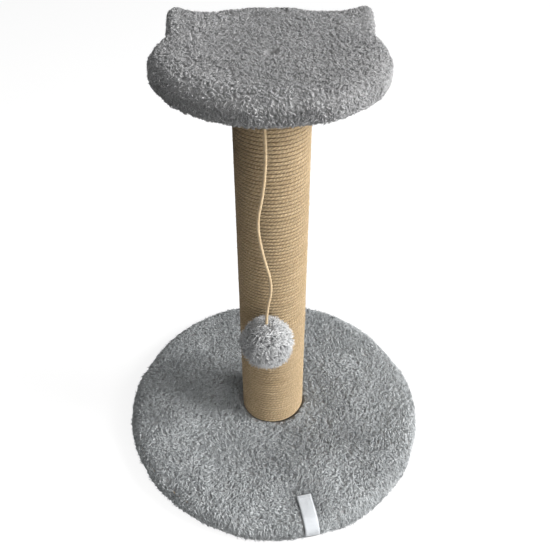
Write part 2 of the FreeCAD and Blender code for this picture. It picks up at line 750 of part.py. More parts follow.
def make_loop():
    """The cord's end, tied in a loop round the staple's crown, with its knot below."""
    bend, long = worth(LOOP_BEND), worth("sizes.loop_length")
    middle = Vector(worth(TOY_X), worth(TOY_Y), worth(ANCHOR))
    knot = middle - UP * long
    lean = math.acos(bend / long)
    crest, quarter = middle + UP * bend, math.pi / 2 - lean / 2
    loop_shape = Part.makeSphere(worth("sizes.loop_knot_diameter / 2"), knot)
    for side in (-1, 1):
        touch = middle + Vector(0, side * math.sin(lean), -math.cos(lean)) * bend
        flank = middle + Vector(0, side * math.sin(quarter), math.cos(quarter)) * bend
        half = [Part.LineSegment(knot, touch), Part.Arc(touch, flank, crest)]
        tube = round_tube([curve.toShape() for curve in half], worth("sizes.cord_diameter"))
        loop_shape = loop_shape.fuse(tube)
    loop = doc.addObject("Part::Feature", "cord_loop")
    loop.Shape = loop_shape.removeSplitter()
    keep(loop, "cord_loop")


def cord_path(points):
    """Straight runs joined by tangent arcs, each as large as its two runs allow."""
    edges, radii = [], []
    start = points[0]
    for before, corner, after in zip(points, points[1:], points[2:]):
        into, away = (corner - before).normalize(), (after - corner).normalize()
        room = BEND_SHARE * min(corner.distanceToPoint(before), after.distanceToPoint(corner))
        radii.append(room / math.tan(into.getAngle(away) / 2))
        first, last = corner - into * room, corner + away * room
        edges.append(Part.LineSegment(start, first).toShape())
        edges.append(tangent_arc(first, corner, last).toShape())
        start = last
    edges.append(Part.LineSegment(start, points[-1]).toShape())
    print("cord: bend radii " + ", ".join(f"{radius:.0f}" for radius in radii) + " mm")
    return edges


def make_cord():
    origin = Vector(worth(TOY_X), worth(TOY_Y), worth(KNOT))
    points = [origin + Vector(right, 0, -down) for right, down in CORD_ROUTE]
    tube = round_tube(cord_path(points), worth("sizes.cord_diameter"))
    swivel = Part.makeSphere(worth("sizes.loop_knot_diameter / 2 + sizes.swivel_gap"), origin)
    cord = doc.addObject("Part::Feature", "toy_cord")
    cord.Shape = tube.cut(swivel)
    keep(cord, "toy_cord")
    return points[-1]


def make_toy(cord_end):
    """The pom-pom: a plush skin round a ball of filling, held by a knot inside its top."""
    knot_radius, cord_radius = worth("sizes.toy_knot_diameter / 2"), worth("sizes.cord_diameter / 2")
    flat = math.sqrt(knot_radius * knot_radius - cord_radius * cord_radius)
    knot_centre = cord_end - UP * flat
    ball = Part.makeSphere(knot_radius, knot_centre)
    above = Part.makeCylinder(knot_radius, knot_radius, cord_end)
    knot = doc.addObject("Part::Feature", "toy_knot")
    knot.Shape = ball.cut(above)
    keep(knot, "toy_knot")

    skin_inner = "(sizes.toy_diameter / 2 - sizes.toy_skin_thickness)"
    centre = f"({knot_centre.z} + sizes.toy_knot_diameter / 2 + sizes.toy_fit - {skin_inner})"
    outer = sphere("skin_outer", "sizes.toy_diameter / 2", TOY_X, TOY_Y, centre)
    inner = sphere("skin_inner", skin_inner, TOY_X, TOY_Y, centre)
    mouth = "sizes.cord_diameter / 2 + sizes.toy_fit"
    neck = cylinder("skin_mouth", mouth, "sizes.toy_diameter / 2 + sizes.overrun", centre, TOY_X, TOY_Y)
    keep(cut("toy_skin", outer, fuse("skin_hollow", inner, neck)), "toy_skin")

    stuffing = sphere("filling_ball", f"{skin_inner} - sizes.toy_fit", TOY_X, TOY_Y, centre)
    room = "sizes.toy_knot_diameter / 2 + sizes.toy_fit"
    pocket = sphere("filling_pocket", room, TOY_X, TOY_Y, f"{knot_centre.z}")
    keep(cut("toy_filling", stuffing, pocket), "toy_filling")


def write_parts():
    """Checks every object and sub-part, then writes one file per sub-part."""
    doc.recompute()
    failed = [o.Name for o in doc.Objects if {"Invalid", "Error"} & set(o.State)]
    if failed:
        raise RuntimeError(f"failed objects: {failed}")
    for piece in nodes:
        if piece.Shape.isNull() or not piece.Shape.isValid() or not piece.Shape.Solids:
            raise RuntimeError(f"{piece.Label} is not a valid solid")
    os.makedirs("parts", exist_ok=True)
    for piece in nodes:
        piece.Shape.exportStep(f"parts/{piece.Label}.step")
        box = piece.Shape.BoundBox
        print(
            f"{piece.Label}: {len(piece.Shape.Solids)} solids, {piece.Shape.Volume / 1000:.2f} cm3,"
            f" z {box.ZMin:.1f} to {box.ZMax:.1f}"
        )


base_seat = make_base()
make_tag()
make_post()
make_bolt("base_bolt", base_seat, True, "sizes.base_bolt_length")
make_rope()
make_rope_sleeve()
platform_seat = make_platform()
make_bolt("platform_bolt", platform_seat, False, "sizes.platform_bolt_length")
make_anchor()
make_loop()
make_toy(make_cord())
write_parts()
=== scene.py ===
import math
import random

import bmesh
import bpy
from mathutils import Matrix, Vector, noise
from mathutils.bvhtree import BVHTree


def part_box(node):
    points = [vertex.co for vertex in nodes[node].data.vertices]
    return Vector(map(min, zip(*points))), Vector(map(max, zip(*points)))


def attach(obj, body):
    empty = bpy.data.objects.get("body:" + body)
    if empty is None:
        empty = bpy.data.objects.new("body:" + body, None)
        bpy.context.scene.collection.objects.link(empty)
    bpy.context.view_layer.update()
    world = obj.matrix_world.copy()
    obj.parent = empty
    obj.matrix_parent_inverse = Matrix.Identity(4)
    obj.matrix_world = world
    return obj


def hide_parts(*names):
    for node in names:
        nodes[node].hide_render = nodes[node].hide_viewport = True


# Cat scratcher: plush base, rope-wound post, plush cat-head platform and a pom-pom on a cord.
# Metres, with the floor at z 0, the post's axis at the origin and the front at -Y.

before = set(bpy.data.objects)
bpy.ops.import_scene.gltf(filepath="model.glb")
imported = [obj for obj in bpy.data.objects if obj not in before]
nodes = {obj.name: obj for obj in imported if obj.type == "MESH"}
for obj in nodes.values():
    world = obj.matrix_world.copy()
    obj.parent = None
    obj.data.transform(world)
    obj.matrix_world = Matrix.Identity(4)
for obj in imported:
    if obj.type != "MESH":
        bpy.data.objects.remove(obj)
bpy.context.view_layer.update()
scene = bpy.context.scene
scene.view_settings.view_transform = "Standard"

TURN = 2 * math.pi
BAKE_MAP = "OFBake"
NOISE_SEED, TUFT_SEED, FIBRE_SEED = 7, 4, 9
# Vector noise takes its seed from the clock unless it is given one
noise.seed_set(NOISE_SEED)


def srgb(red, green, blue):
    """A colour from screen values of 0 to 255."""
    return tuple(((c / 255 + 0.055) / 1.055) ** 2.4 for c in (red, green, blue)) + (1,)


def clamp(value):
    """A value kept between 0 and 1."""
    return min(1, max(0, value))


# Camera
PHOTO_PIXELS = 550
FOCAL_PIXELS = 671
SENSOR_WIDTH = 36
LENS_SHIFT = -0.05
PITCH = math.radians(36.99)
CAMERA_TURN = math.radians(-1.05)
CAMERA_PLACE = (0.00305, -0.61015, 0.74579)


def set_camera():
    data = bpy.data.cameras.new("camera")
    data.sensor_width = SENSOR_WIDTH
    data.lens = FOCAL_PIXELS * SENSOR_WIDTH / PHOTO_PIXELS
    data.shift_y = LENS_SHIFT
    camera = bpy.data.objects.new("camera", data)
    scene.collection.objects.link(camera)
    stand = Matrix.Translation(CAMERA_PLACE) @ Matrix.Rotation(math.pi / 2 - PITCH, 4, "X")
    camera.matrix_world = Matrix.Rotation(CAMERA_TURN, 4, "Z") @ stand
    scene.camera = camera


# Finishes
class Wire:
    """A shader socket that takes part in Python sums."""

    def __init__(self, finish, socket):
        self.finish, self.socket = finish, socket

    def maths(self, operation, *terms):
        return self.finish.node("Math", {"operation": operation}, dict(enumerate(terms)))

    def __add__(self, other):
        return self.maths("ADD", self, other)

    def __sub__(self, other):
        return self.maths("SUBTRACT", self, other)

    def __rsub__(self, other):
        return self.maths("SUBTRACT", other, self)

    def __mul__(self, other):
        return self.maths("MULTIPLY", self, other)

    __radd__, __rmul__ = __add__, __mul__


class Finish:
    """A material with one Principled surface."""

    store, shader = bpy.data.materials, "Principled BSDF"

    def __init__(self, name, look):
        self.material = self.store.new(name)
        self.material.use_nodes = True
        self.tree = self.material.node_tree
        self.surface = self.tree.nodes[self.shader]
        for socket, value in look.items():
            self.surface.inputs[socket].default_value = value

    def node(self, kind, settings, sockets, output=0):
        made = self.tree.nodes.new(f"ShaderNode{kind}")
        for name, value in settings.items():
            setattr(made, name, value)
        for name, value in sockets.items():
            if isinstance(value, Wire):
                self.tree.links.new(value.socket, made.inputs[name])
            else:
                made.inputs[name].default_value = value
        return Wire(self, made.outputs[output])

    def feed(self, **wires):
        for name, wire in wires.items():
            self.tree.links.new(wire.socket, self.surface.inputs[name.replace("_", " ")])

    def mix(self, share, a, b):
        return self.node("Mix", {"data_type": "RGBA"}, {0: share, 6: a, 7: b}, 2)

    def bump(self, height, strength, depth):
        return self.node("Bump", {}, {"Height": height, "Strength": strength, "Distance": depth})

    def place(self):
        return self.node("TexCoord", {}, {}, "Object")

    def grain(self, vector, scale, detail=3, stretch=(1, 1, 1)):
        vector = self.node("Mapping", {}, {"Vector": vector, "Scale": stretch})
        return self.node("TexNoise", {}, {"Vector": vector, "Scale": scale, "Detail": detail})

    def split(self, vector):
        made = self.node("SeparateXYZ", {}, {"Vector": vector}).socket.node
        return [Wire(self, socket) for socket in made.outputs]


class Backdrop(Finish):
    """The light all round the stage."""

    store, shader = bpy.data.worlds, "Background"


def seen_directly(finish):
    """1 for rays from the camera and those that gloss sends on, 0 for light on the object."""
    rays = finish.node("LightPath", {}, {}).socket.node.outputs
    names = ("Is Camera Ray", "Is Glossy Ray", "Is Transmission Ray")
    kinds = [Wire(finish, rays[name]) for name in names]
    return finish.node("Math", {"operation": "MINIMUM"}, {0: sum(kinds), 1: 1.0})


# Pile: u holds a blade's tint, the upper half of v runs from its root to its tip
GROUND_V, PILE_V, PILE_SPAN = 0.46, 0.54, 0.42


def pile_finish(name, tones, cool, glow):
    """Grey pile from tones for a dull root, a dull tip, a bright root and a bright tip."""
    look = {
        "Roughness": 0.85,
        "Sheen Weight": 0.3,
        "Sheen Roughness": 0.45,
        "Sheen Tint": srgb(225, 228, 232),
        "Specular IOR Level": 0.15,
        "Subsurface Weight": glow,
        "Subsurface Scale": 0.004,
        "Subsurface Radius": (1, 1, 1),
    }
    pile = Finish(name, look)
    tint, up, _ = pile.split(pile.node("UVMap", {"uv_map": BAKE_MAP}, {}))
    along = (up - PILE_V) * (1 / PILE_SPAN)
    greys = [srgb(tone - cool, tone, tone + cool / 3) for tone in tones]
    dull, bright = pile.mix(along, *greys[:2]), pile.mix(along, *greys[2:])
    pile.feed(Base_Color=pile.mix(tint, dull, bright))
    return pile.material


def ground_finish(name, dull, bright):
    """The close knit under the pile, with tones for its dull and bright stitches."""
    ground = Finish(name, {"Roughness": 0.95, "Specular IOR Level": 0.1})
    speckle = ground.grain(ground.place(), 320)
    greys = [srgb(tone, tone, tone) for tone in (dull, bright)]
    ground.feed(Base_Color=ground.mix(speckle, *greys))
    ground.feed(Normal=ground.bump(speckle, 0.5, 0.001))
    return ground.material


def rope_finish():
    """Jute twine: u runs once round the post, v counts the turns from the floor."""
    look = {
        "Roughness": 0.88,
        "Sheen Weight": 0.15,
        "Sheen Roughness": 0.4,
        "Specular IOR Level": 0.25,
    }
    rope = Finish("jute_twine", look)
    u, v, _ = rope.split(rope.node("UVMap", {"uv_map": BAKE_MAP}, {}))
    turn = v * ROPE_TURNS
    row = rope.node("Math", {"operation": "ROUND"}, {0: turn})
    along, side = u + row, rope.node("Math", {"operation": "ABSOLUTE"}, {0: turn - row})
    unrolled = {"X": along * ROPE_ROUND, "Y": turn * ROPE_GIRTH, "Z": 0.0}
    skin = rope.node("CombineXYZ", {}, unrolled)
    fibre = (rope.grain(skin, 1, 4, (0.2, 1.7, 1)) - 0.5) * 2.4 + 0.5
    speck = (rope.grain(skin, 1, 2, (0.55, 0.6, 1)) - 0.5) * 3.2 + 0.5
    patch = (rope.grain(skin, 1, 2, (0.03, 0.09, 1)) - 0.5) * 2 + 0.5
    twist = turn * 3 - along * ROPE_LAYS + patch * 1.6 + fibre * 0.6
    lay = rope.node("Math", {"operation": "SINE"}, {0: twist * TURN})
    # Painted shade: a mask that grows from the middle of each turn towards the grooves between
    # turns.
    groove_painted_shade = (side - 0.13) * 8 * (patch * 0.9 + 0.4)
    pale = rope.mix(fibre, srgb(136, 106, 68), srgb(248, 222, 180))
    tone = rope.mix(patch, srgb(140, 110, 72), srgb(242, 217, 178))
    worn = rope.mix(speck * 0.6, rope.mix(0.4, pale, tone), srgb(240, 214, 171))
    # Painted shade: the colour darkens along the valleys of the twist, where the bump sinks.
    lay_painted_shade = rope.mix((lay * 0.5 + 0.5) * 0.42, worn, srgb(134, 104, 67))
    # Painted shade: the grooves between the turns darken to a deep brown.
    rope.feed(Base_Color=rope.mix(groove_painted_shade, lay_painted_shade, srgb(76, 55, 32)))
    rope.feed(Normal=rope.bump(lay * -0.6 + fibre, 0.9, 0.0007))
    return rope.material


def cord_finish():
    look = {"Roughness": 0.8, "Sheen Weight": 0.2, "Specular IOR Level": 0.25}
    cord = Finish("cotton_cord", look)
    fibre = cord.grain(cord.place(), 900, 3, (1, 1, 0.35))
    soil = (cord.grain(cord.place(), 260, 2) - 0.5) * 2 + 0.5
    pale = cord.mix(fibre, srgb(190, 164, 122), srgb(240, 222, 190))
    cord.feed(Base_Color=cord.mix(soil * 0.5, pale, srgb(172, 142, 98)))
    cord.feed(Normal=cord.bump(fibre, 0.5, 0.0004))
    return cord.material


def thread_finish():
    """White sewing thread."""
    look = {"Roughness": 0.6, "Sheen Weight": 0.2, "Specular IOR Level": 0.3}
    thread = Finish("white_thread", look)
    twist = thread.grain(thread.place(), 2200, 2, (1, 0.3, 1))
    thread.feed(Base_Color=thread.mix(twist, srgb(178, 181, 184), srgb(206, 208, 210)))
    return thread.material


def ribbon_finish():
    """White woven ribbon with a fine rib across."""
    look = {"Roughness": 0.5, "Sheen Weight": 0.2, "Specular IOR Level": 0.4}
    ribbon = Finish("white_ribbon", look)
    u, v, _ = ribbon.split(ribbon.node("UVMap", {"uv_map": RIBBON_MAP}, {}))
    across = ribbon.node("Math", {"operation": "SINE"}, {0: u * (WARP_THREADS * TURN)})
    along = ribbon.node("Math", {"operation": "SINE"}, {0: v * (WEFT_THREADS * TURN)})
    weave = across * along
    soil = ribbon.grain(ribbon.place(), 90)
    ribbon.feed(Base_Color=ribbon.mix(soil, srgb(192, 196, 200), srgb(212, 215, 218)))
    ribbon.feed(Normal=ribbon.bump(weave, 0.3, 0.0002))
    return ribbon.material


def felt_finish():
    """Bonded-fibre sheet with a pressed dot grid."""
    felt = Finish("dark_felt", {"Roughness": 0.95, "Specular IOR Level": 0.2})
    fibre = felt.grain(felt.place(), 260, 5)
    grid = {"Vector": felt.place(), "Scale": 420.0, "Randomness": 0.0}
    dots = felt.node("TexVoronoi", {}, grid)
    felt.feed(Base_Color=felt.mix(fibre, srgb(40, 41, 43), srgb(78, 79, 82)))
    felt.feed(Normal=felt.bump(dots + fibre * 0.4, 0.6, 0.0006))
    return felt.material


def chipboard_finish():
    board = Finish("chipboard", {"Roughness": 0.75})
    chips = board.node("TexVoronoi", {}, {"Vector": board.place(), "Scale": 240.0}, "Color")
    grey, _, _ = board.split(chips)
    fine = board.grain(board.place(), 500)
    tone = grey * 0.7 + fine * 0.3
    board.feed(Base_Color=board.mix(tone, srgb(158, 122, 82), srgb(214, 184, 140)))
    board.feed(Normal=board.bump(grey + fine, 0.4, 0.0006))
    return board.material


def softwood_finish():
    wood = Finish("softwood", {"Roughness": 0.6})
    rings = {"Vector": wood.place(), "Scale": 55.0, "Distortion": 5.0}
    wave = wood.node("TexWave", {"bands_direction": "X"}, rings)
    fibre = wood.grain(wood.place(), 90, 4, (1, 12, 1))
    tone = wave * 0.6 + fibre * 0.4
    wood.feed(Base_Color=wood.mix(tone, srgb(196, 158, 108), srgb(226, 196, 150)))
    wood.feed(Normal=wood.bump(fibre, 0.3, 0.0004))
    return wood.material


def cardboard_finish():
    card = Finish("cardboard", {"Roughness": 0.85})
    fibre = card.grain(card.place(), 140, 4, (1, 1, 3))
    card.feed(Base_Color=card.mix(fibre, srgb(150, 116, 78), srgb(186, 152, 110)))
    card.feed(Normal=card.bump(fibre, 0.3, 0.0004))
    return card.material


def zinc_finish():
    zinc = Finish("zinc_steel", {"Metallic": 1.0})
    stain = zinc.grain(zinc.place(), 220, 4)
    zinc.feed(Base_Color=zinc.mix(stain, srgb(150, 152, 155), srgb(198, 200, 203)))
    zinc.feed(Roughness=stain * 0.3 + 0.25)
    return zinc.material


# Meshes
def new_piece(name, mesh, materials, body):
    """Puts a finished mesh in the scene, riding on a body."""
    piece = bpy.data.objects.new(name, mesh)
    scene.collection.objects.link(piece)
    for material in materials:
        mesh.materials.append(material)
    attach(piece, body)
    return piece


def mesh_of(bm, name):
    mesh = bpy.data.meshes.new(name)
    bm.to_mesh(mesh)
    bm.free()
    return mesh


def smooth_faces(bm):
    for face in bm.faces:
        face.smooth = True


def stamp(bm, mesh, place):
    """Adds a copy of a small mesh at a place."""
    mesh.transform(place)
    bm.from_mesh(mesh, face_normals=False, vertex_normals=False)
    mesh.transform(place.inverted())


def give_thickness(piece, thickness):
    thick = piece.modifiers.new("thickness", "SOLIDIFY")
    thick.thickness = thickness
    thick.offset = 0


def ring_edges(ring):
    """The edges that join the vertices of a ring."""
    inside = set(ring)
    return list({e for v in ring for e in v.link_edges if e.other_vert(v) in inside})


def grow_blade(bm, root, reach, width, lean, curl, bends, tint):
    """Adds a three-sided blade of pile that rises from its root, leans to +X and curls aside."""
    along, uv = bm.verts.layers.float["along"], bm.loops.layers.uv[BAKE_MAP]
    before = set(bm.faces)
    ring = bmesh.ops.create_circle(bm, segments=3, radius=width / 2, matrix=root)["verts"]
    at, size = root, 1
    for step in range(1, bends + 1):
        grown = bmesh.ops.extrude_edge_only(bm, edges=ring_edges(ring))["geom"]
        ring = [v for v in grown if isinstance(v, bmesh.types.BMVert)]
        bend = Matrix.Rotation(lean / bends, 4, "Y") @ Matrix.Rotation(curl / bends, 4, "X")
        there = at @ bend @ Matrix.Translation((0, 0, reach / bends))
        wide = 1.2 if step < bends else 0.2
        move = there @ Matrix.Scale(wide / size, 4) @ at.inverted()
        bmesh.ops.transform(bm, matrix=move, verts=ring)
        at, size = there, wide
        for v in ring:
            v[along] = step / bends
    bmesh.ops.pointmerge(bm, verts=ring, merge_co=at.translation)
    for face in set(bm.faces) - before:
        face.smooth = True
        face.material_index = 1
        for loop in face.loops:
            loop[uv].uv = (0.02 + 0.96 * tint, PILE_V + PILE_SPAN * loop.vert[along])


# Tints of tuft, and how far the blades of one stand apart
TUFTS, BLADE_SPREAD = 28, 0.0005
# Within this of the post's axis the ground sinks straight down
POST_ROOM = 0.0415
# The ground's longest edge, and how often longer ones are halved
GROUND_EDGE, GROUND_ROUNDS = 0.016, 4
# A face this close to what the cover wraps is on the inside
CORE_GAP = 0.0006
# Faces that look down more than this have half the pile
UNDERSIDE = -0.5
# Ground below the first level isn't sunk, and nothing goes below the second
FOOT_LEVEL, FLOOR_GAP = 0.002, 0.0003


def make_tuft(rng, tint, reach, width, lean, bends, blades, hairs):
    """A tuft of pile: blades that lean much the same way, and a few stray hairs."""
    bm = bmesh.new()
    bm.verts.layers.float.new("along")
    bm.loops.layers.uv.new(BAKE_MAP)
    spread = BLADE_SPREAD * math.sqrt(blades)
    for k in range(blades + hairs):
        blade = k < blades
        spot = Matrix.Translation((rng.gauss(0, spread), rng.gauss(0, spread), 0))
        grow_blade(
            bm,
            spot @ Matrix.Rotation(rng.gauss(0, 0.28), 4, "Z"),
            reach * rng.uniform(0.8, 1.15) * (1 if blade else 0.8),
            width * rng.uniform(0.75, 1.25) * (1 if blade else 0.3),
            math.radians(rng.uniform(*lean) if blade else rng.uniform(15, 75)),
            math.radians(rng.gauss(0, 35)),
            bends if blade else 1,
            clamp(tint + rng.gauss(0, 0.12)),
        )
    bm.verts.layers.float.remove(bm.verts.layers.float["along"])
    return mesh_of(bm, "tuft")


def make_tufts(**shape):
    """Tufts of one pile from its dullest tint to its brightest, each bent in its own way."""
    rng = random.Random(TUFT_SEED)
    return [make_tuft(rng, i / (TUFTS - 1), **shape) for i in range(TUFTS)]


def plain_copy(node):
    """A merged copy of a CAD node's mesh with nothing on it but its shape."""
    mesh = nodes[node].data.copy()
    mesh.materials.clear()
    bm = bmesh.new()
    bm.from_mesh(mesh)
    bpy.data.meshes.remove(mesh)
    for layers in (bm.loops.layers.uv, bm.loops.layers.float_vector, bm.loops.layers.int):
        for layer in layers.values():
            layers.remove(layer)
    bmesh.ops.remove_doubles(bm, verts=bm.verts, dist=1e-6)
    return bm


def plush_cover(
    name, node, core, body, *, tufts, finishes, sink, density, bare, sway, comb, mess, patchy, painted_light
):
    """A plush cover: a close ground just under its faces, and tufts of pile over its outside."""
    rng = random.Random(name)
    inside = BVHTree.FromBMesh(plain_copy(core))
    bm = plain_copy(node)
    for _ in range(GROUND_ROUNDS):
        long = [e for e in bm.edges if e.calc_length() > GROUND_EDGE]
        bmesh.ops.subdivide_edges(bm, edges=long, cuts=1)
        bmesh.ops.triangulate(bm, faces=bm.faces)
    uv = bm.loops.layers.uv.new(BAKE_MAP)
    low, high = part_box(node)
    middle, span = (low + high) / 2, max(high - low)
    roots = []
    for face in bm.faces:
        face.smooth = True
        a, b, c = face.verts
        inner = all(inside.find_nearest(v.co)[3] < CORE_GAP for v in face.verts)
        for loop in face.loops:
            flat = (loop.vert.co - middle) / span
            loop[uv].uv = (0.5 + flat.x * 0.96, (0.5 + flat.y * 0.96) * GROUND_V)
        if inner:
            continue
        close = density if face.normal.z > UNDERSIDE else density / 2
        for _ in range(int(face.calc_area() * close + rng.random())):
            s, t = sorted((rng.random(), rng.random()))
            point = a.co * s + b.co * (t - s) + c.co * (1 - t)
            if not bare(point):
                roots.append((point, face.normal.copy()))
    for v in bm.verts:
        if inside.find_nearest(v.co)[3] > CORE_GAP and v.co.z > FOOT_LEVEL:
            deep = sink if v.normal.z > UNDERSIDE else sink * 0.5
            v.co -= Vector((0, 0, sink)) if v.co.xy.length < POST_ROOM else v.normal * deep
    for v in bm.verts:
        v.co = sway(v.co)
    for point, up in roots:
        stir = Vector(rng.gauss(0, 1) for _ in range(3))
        drift = noise.noise_vector(point * 17) * 1.5 + stir * mess + comb(point)
        lie = (drift - up * drift.dot(up)).normalized()
        tall = rng.uniform(0.75, 1.15)
        lump = noise.noise(point * 60) * 0.0008
        turn = Matrix((lie, up.cross(lie), up)).transposed().to_4x4()
        root = sway(point) - up * (sink + lump)
        place = Matrix.Translation(root) @ turn @ Matrix.Scale(tall, 4)
        patch = 0.55 * noise.noise(point * 14) + 0.3 * noise.noise(point * 50)
        patch += rng.gauss(0, 0.18)
        # A tuft's tint: random patches, plus painted light and shade that depend on place.
        shade = 0.5 + patch * patchy + painted_light(point)
        stamp(bm, tufts[min(TUFTS - 1, max(0, int(shade * TUFTS)))], place)
    for v in bm.verts:
        v.co.z = max(v.co.z, FLOOR_GAP)
    piece = new_piece(name, mesh_of(bm, name), finishes, body)
    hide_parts(node)


# Rope round the post
ROPE_TURNS, ROPE_LAYS, ROPE_PITCH, ROPE_RADIUS = 106, 61.37, 0.0044, 0.00214
ROPE_RUN = 0.03795
ROPE_SEAM = math.radians(100)
ROPE_SIDES, ROPE_STEPS = 8, 60
# Once round the post and once round the rope, in millimetres
ROPE_ROUND, ROPE_GIRTH = 239, 13.4
# How far the turns stray out and up
ROPE_STRAY, ROPE_SAG = 0.00022, 0.00028
FIBRE_KINDS, FIBRES, FIBRE_WIDTH = 12, 5200, 0.00022


def evaluated(piece):
    """A piece's mesh with its modifiers applied."""
    applied = piece.evaluated_get(bpy.context.evaluated_depsgraph_get())
    return bpy.data.meshes.new_from_object(applied)


def near(angle, middle):
    """An angle, given in the turn that lies closest to another angle."""
    return angle + TURN * round((middle - angle) / TURN)


def wind_rope():
    """One turn of rope, repeated up the post as a single winding, then made uneven."""
    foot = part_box("post_tube")[0].z + ROPE_PITCH / 2
    bm = bmesh.new()
    ring = bmesh.ops.create_circle(bm, segments=ROPE_SIDES, radius=ROPE_RADIUS)["verts"]
    stand = Matrix.Translation((ROPE_RUN, 0, foot)) @ Matrix.Rotation(math.pi / 2, 4, "X")
    bmesh.ops.transform(bm, matrix=stand, verts=ring)
    climb = (0, 0, ROPE_PITCH / ROPE_STEPS)
    section = bm.verts[:] + bm.edges[:]
    bmesh.ops.spin(bm, geom=section, axis=(0, 0, 1), dvec=climb, angle=TURN, steps=ROPE_STEPS)
    turn = bpy.data.objects.new("rope_turn", mesh_of(bm, "rope_turn"))
    scene.collection.objects.link(turn)
    array = turn.modifiers.new("turns", "ARRAY")
    array.count = ROPE_TURNS - 1
    array.use_relative_offset = False
    array.use_constant_offset = True
    array.constant_offset_displace = (0, 0, ROPE_PITCH)
    array.use_merge_vertices = True
    array.merge_threshold = 1e-5
    bm = bmesh.new()
    bm.from_mesh(evaluated(turn))
    bpy.data.objects.remove(turn)
    bmesh.ops.holes_fill(bm, edges=[e for e in bm.edges if e.is_boundary], sides=0)
    bmesh.ops.recalc_face_normals(bm, faces=bm.faces)
    uv = bm.loops.layers.uv.new(BAKE_MAP)
    for face in bm.faces:
        face.smooth = True
        middle = face.calc_center_median()
        round_post = math.atan2(middle.y, middle.x) % TURN
        level = (middle.z - foot) / ROPE_PITCH - round_post / TURN
        row = round(level)
        round_rope = math.atan2((level - row) * ROPE_PITCH, middle.xy.length - ROPE_RUN)
        for loop in face.loops:
            co = loop.vert.co
            far = near(math.atan2(co.y, co.x), round_post) / TURN
            height = co.z - foot - (row + far) * ROPE_PITCH
            side = near(math.atan2(height, co.xy.length - ROPE_RUN), round_rope) / TURN
            loop[uv].uv = (far, (row + 1 + side) / ROPE_TURNS)
    for v in bm.verts:
        lean = noise.noise_vector(Vector((v.co.x * 30, v.co.y * 30, v.co.z * 160)))
        out = Vector((v.co.x, v.co.y, 0)).normalized()
        v.co += out * (lean.x * ROPE_STRAY) + Vector((0, 0, lean.y * ROPE_SAG))
    seam = Matrix.Rotation(ROPE_SEAM, 3, "Z")
    bmesh.ops.rotate(bm, verts=bm.verts, cent=(0, 0, 0), matrix=seam)
    rope = new_piece("post_rope", mesh_of(bm, "post_rope"), [rope_finish()], "stand")
    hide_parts("rope_winding", "rope_sleeve")


def fibre_finish():
    """Loose jute fibres: u holds the tint."""
    look = {"Roughness": 0.8, "Sheen Weight": 0.2, "Specular IOR Level": 0.25}
    fibre = Finish("jute_fibre", look)
    tint, _, _ = fibre.split(fibre.node("UVMap", {"uv_map": BAKE_MAP}, {}))
    fibre.feed(Base_Color=fibre.mix(tint, srgb(180, 152, 108), srgb(246, 224, 182)))
    return fibre.material


def fray_rope():
    """Loose fibres that stand a little off the rope."""
    rng = random.Random(FIBRE_SEED)
    hairs = []
    for i in range(FIBRE_KINDS):
        hair = bmesh.new()
        hair.verts.layers.float.new("along")
        hair.loops.layers.uv.new(BAKE_MAP)
        reach, lean = rng.uniform(0.004, 0.009), math.radians(rng.uniform(10, 50))
        curl, tint = math.radians(rng.gauss(0, 40)), i / (FIBRE_KINDS - 1)
        grow_blade(hair, Matrix.Identity(4), reach, FIBRE_WIDTH, lean, curl, 2, tint)
        for face in hair.faces:
            face.material_index = 0
        hair.verts.layers.float.remove(hair.verts.layers.float["along"])
        hairs.append(mesh_of(hair, "hair"))
    foot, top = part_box("post_tube")[0].z + 0.007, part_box("post_tube")[1].z - 0.004
    bm = bmesh.new()
    bm.loops.layers.uv.new(BAKE_MAP)
    for _ in range(FIBRES):
        angle = rng.uniform(0, TURN)
        out = Vector((math.cos(angle), math.sin(angle), 0))
        way = Vector((-out.y, out.x, 0)) * rng.choice((-1, 1))
        way += Vector((0, 0, rng.gauss(0, 0.3)))
        up = (way + out * rng.uniform(0.05, 0.45)).normalized()
        lie = (up.cross(out).cross(up)).normalized() * -1
        turn = Matrix((lie, up.cross(lie), up)).transposed().to_4x4()
        root = out * (ROPE_RUN + ROPE_RADIUS * 0.8) + Vector((0, 0, rng.uniform(foot, top)))
        stamp(bm, rng.choice(hairs), Matrix.Translation(root) @ turn)
    new_piece("rope_fibres", mesh_of(bm, "rope_fibres"), [fibre_finish()], "stand")


# Hanging cord
KNOT = Vector((-0.007736, -0.072388, 0.477))
CORD_ROUTE = [
    (0, 0.002),
    (0.0009, 0.026),
    (0.0002, 0.050),
    (-0.0026, 0.076),
    (-0.0086, 0.107),
    (-0.0035, 0.145),
    (0.0072, 0.188),
    (0, 0.222),
    (0, 0.2475),
]
STRAND_RADIUS, STRAND_REACH, STRAND_LAY = 0.00084, 0.00096, 0.0082
KNOT_POINTS, KNOT_STRAND = 36, 0.0012
LOOP_REACH, LOOP_SLACK = 0.00275, 1.12


def nurbs_line(points, detail, closed=False):
    """Points along a smooth spline that has these control points."""
    curve = bpy.data.curves.new("route", "CURVE")
    curve.dimensions = "3D"
    spline = curve.splines.new("NURBS")
    spline.points.add(len(points) - 1)
    for made, point in zip(spline.points, points):
        made.co = (*point, 1)
    spline.order_u = 3
    spline.use_endpoint_u = not closed
    spline.use_cyclic_u = closed
    spline.resolution_u = detail
    holder = bpy.data.objects.new("route", curve)
    line = bpy.data.meshes.new_from_object(holder)
    found = [v.co.copy() for v in line.vertices]
    bpy.data.meshes.remove(line)
    bpy.data.curves.remove(curve)
    return found


